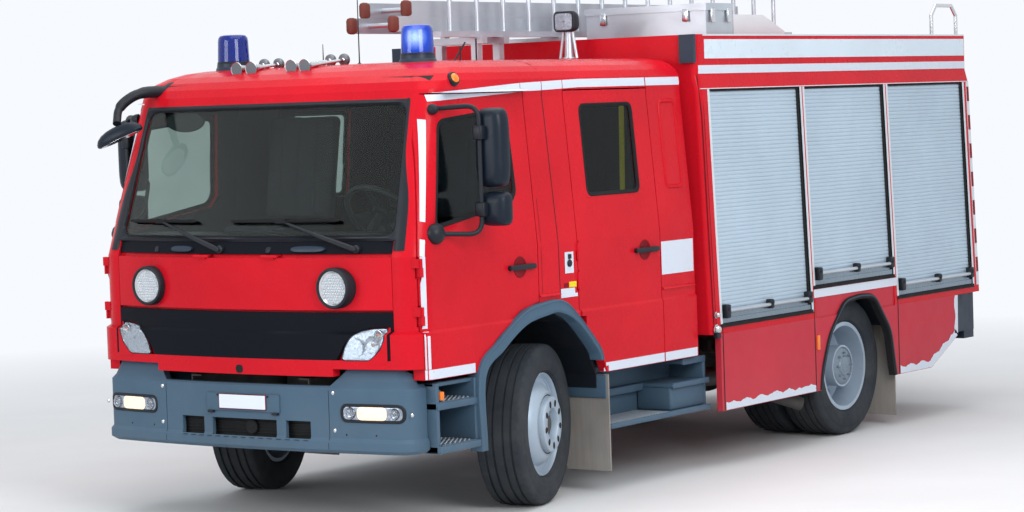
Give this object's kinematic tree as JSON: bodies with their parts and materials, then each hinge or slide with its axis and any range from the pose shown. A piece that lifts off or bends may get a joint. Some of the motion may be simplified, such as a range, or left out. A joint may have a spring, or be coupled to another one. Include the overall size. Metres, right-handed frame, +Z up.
{
  "type": "crew-cab fire engine",
  "caption": "Crew-cab fire engine with hinged doors, steered front wheels, twin rear wheels, side shutters and roof ladders.",
  "frame": {"origin": "middle of the bounding box at ground level", "axes": "+Z up, +X to the vehicle's left, +Y to its rear; the front faces -Y"},
  "size_m": [2.96, 6.76, 3.05],
  "materials": {
    "red_paint": "gloss",
    "grey_plastic": "satin",
    "black_plastic": "satin",
    "tyre": "matte",
    "wheel_paint": "satin",
    "glass": "clear",
    "aluminium": "satin",
    "shutter": "satin",
    "chassis_paint": "satin",
    "white_paint": "gloss",
    "blue_lens": "gloss",
    "lamp_lens": "clear",
    "rubber": "matte",
    "fabric": "matte",
    "chrome": "polished",
    "cast_metal": "matte"
  },
  "bodies": {
    "chassis": {"cab_shell": "red_paint", "windscreen": "glass", "front_panel": "black_plastic", "lamps": "lamp_lens", "dashboard": "black_plastic", "steering_wheel": "black_plastic", "seats": "fabric", "wipers": "black_plastic", "kerb_mirror": "black_plastic", "beacons": "blue_lens", "air_horns": "chrome", "work_lamp": "black_plastic", "antennas": "black_plastic", "bumper": "grey_plastic", "fog_lamps": "lamp_lens", "steps": "grey_plastic", "arch_flares": "grey_plastic", "wheel_arches": "black_plastic", "mud_flaps": "rubber", "chassis_frame": "chassis_paint", "engine_block": "cast_metal", "leaf_springs": "chassis_paint", "front_axle": "chassis_paint", "rear_axle": "chassis_paint", "exhaust": "cast_metal", "body_shell": "red_paint", "shutters": "shutter", "body_skirts": "red_paint", "rear_bumper": "grey_plastic", "roof_caps": "grey_plastic", "roof_box": "aluminium", "roof_hatch": "white_paint", "ladders": "aluminium", "ladder_gantry": "aluminium", "roof_hoop": "chrome"},
    "front_flap": {"front_flap": "red_paint", "flap_lamps": "lamp_lens"},
    "door_fl": {"door_fl": "red_paint", "glass_fl": "glass", "mirror_left": "black_plastic"},
    "wheel_fl": {"tyre_fl": "tyre", "rim_fl": "wheel_paint"},
    "door_fr": {"door_fr": "red_paint", "glass_fr": "glass", "mirror_right": "black_plastic"},
    "wheel_fr": {"tyre_fr": "tyre", "rim_fr": "wheel_paint"},
    "door_rl": {"door_rl": "red_paint", "glass_rl": "glass"},
    "wheel_rl": {"tyre_rl": "tyre", "rim_rl": "wheel_paint"},
    "door_rr": {"door_rr": "red_paint", "glass_rr": "glass"},
    "wheel_rr": {"tyre_rr": "tyre", "rim_rr": "wheel_paint"},
    "knuckle_left": {"knuckle_left": "cast_metal"},
    "knuckle_right": {"knuckle_right": "cast_metal"},
    "tie_rod": {"tie_rod": "chassis_paint"},
    "roof_box_lid": {"roof_box_lid": "aluminium"}
  },
  "joints": [
    {"name": "steer_left", "type": "hinge", "parent": "chassis", "child": "knuckle_left", "pos_m": [0.84, -2.02, 0.4625], "axis": [0, 0, 1], "range_deg": [-56, 24]},
    {"name": "steer_right", "type": "hinge", "parent": "chassis", "child": "knuckle_right", "pos_m": [-0.84, -2.02, 0.4625], "axis": [0, 0, 1], "range_deg": [-56, 24]},
    {"name": "track_rod_pivot", "type": "hinge", "parent": "knuckle_left", "child": "tie_rod", "pos_m": [0.79314, -1.85659, 0.322], "axis": [0, 0, 1], "range_deg": [-24, 56]},
    {"name": "wheel_fl_spin", "type": "hinge", "parent": "knuckle_left", "child": "wheel_fl", "pos_m": [0.84, -2.02, 0.4625], "axis": [0.9613, 0.2756, 0], "continuous": true},
    {"name": "wheel_fr_spin", "type": "hinge", "parent": "knuckle_right", "child": "wheel_fr", "pos_m": [-0.84, -2.02, 0.4625], "axis": [0.9613, 0.2756, 0], "continuous": true},
    {"name": "wheel_rl_spin", "type": "hinge", "parent": "chassis", "child": "wheel_rl", "pos_m": [0.83, 1.54, 0.4625], "axis": [1, 0, 0], "continuous": true},
    {"name": "wheel_rr_spin", "type": "hinge", "parent": "chassis", "child": "wheel_rr", "pos_m": [-0.83, 1.54, 0.4625], "axis": [1, 0, 0], "continuous": true},
    {"name": "door_fl_hinge", "type": "hinge", "parent": "chassis", "child": "door_fl", "pos_m": [1.157, -3.1535, 1.3], "axis": [0, 0, -1], "range_deg": [0, 75]},
    {"name": "door_fr_hinge", "type": "hinge", "parent": "chassis", "child": "door_fr", "pos_m": [-1.157, -3.1535, 1.3], "axis": [0, 0, 1], "range_deg": [0, 75]},
    {"name": "door_rl_hinge", "type": "hinge", "parent": "chassis", "child": "door_rl", "pos_m": [1.167, -1.6785, 1.3], "axis": [0, 0, -1], "range_deg": [0, 80]},
    {"name": "door_rr_hinge", "type": "hinge", "parent": "chassis", "child": "door_rr", "pos_m": [-1.167, -1.6785, 1.3], "axis": [0, 0, 1], "range_deg": [0, 80]},
    {"name": "front_flap_hinge", "type": "hinge", "parent": "chassis", "child": "front_flap", "pos_m": [0, -3.336, 1.509], "axis": [-1, 0, 0], "range_deg": [0, 85]},
    {"name": "roof_box_lid_hinge", "type": "hinge", "parent": "chassis", "child": "roof_box_lid", "pos_m": [0.152, 0.14, 2.845], "axis": [0, -1, 0], "range_deg": [0, 100]}
  ],
  "couplings": [
    {"joint": "steer_right", "follows": "steer_left", "ratio": 1},
    {"joint": "track_rod_pivot", "follows": "steer_left", "ratio": -1}
  ]
}
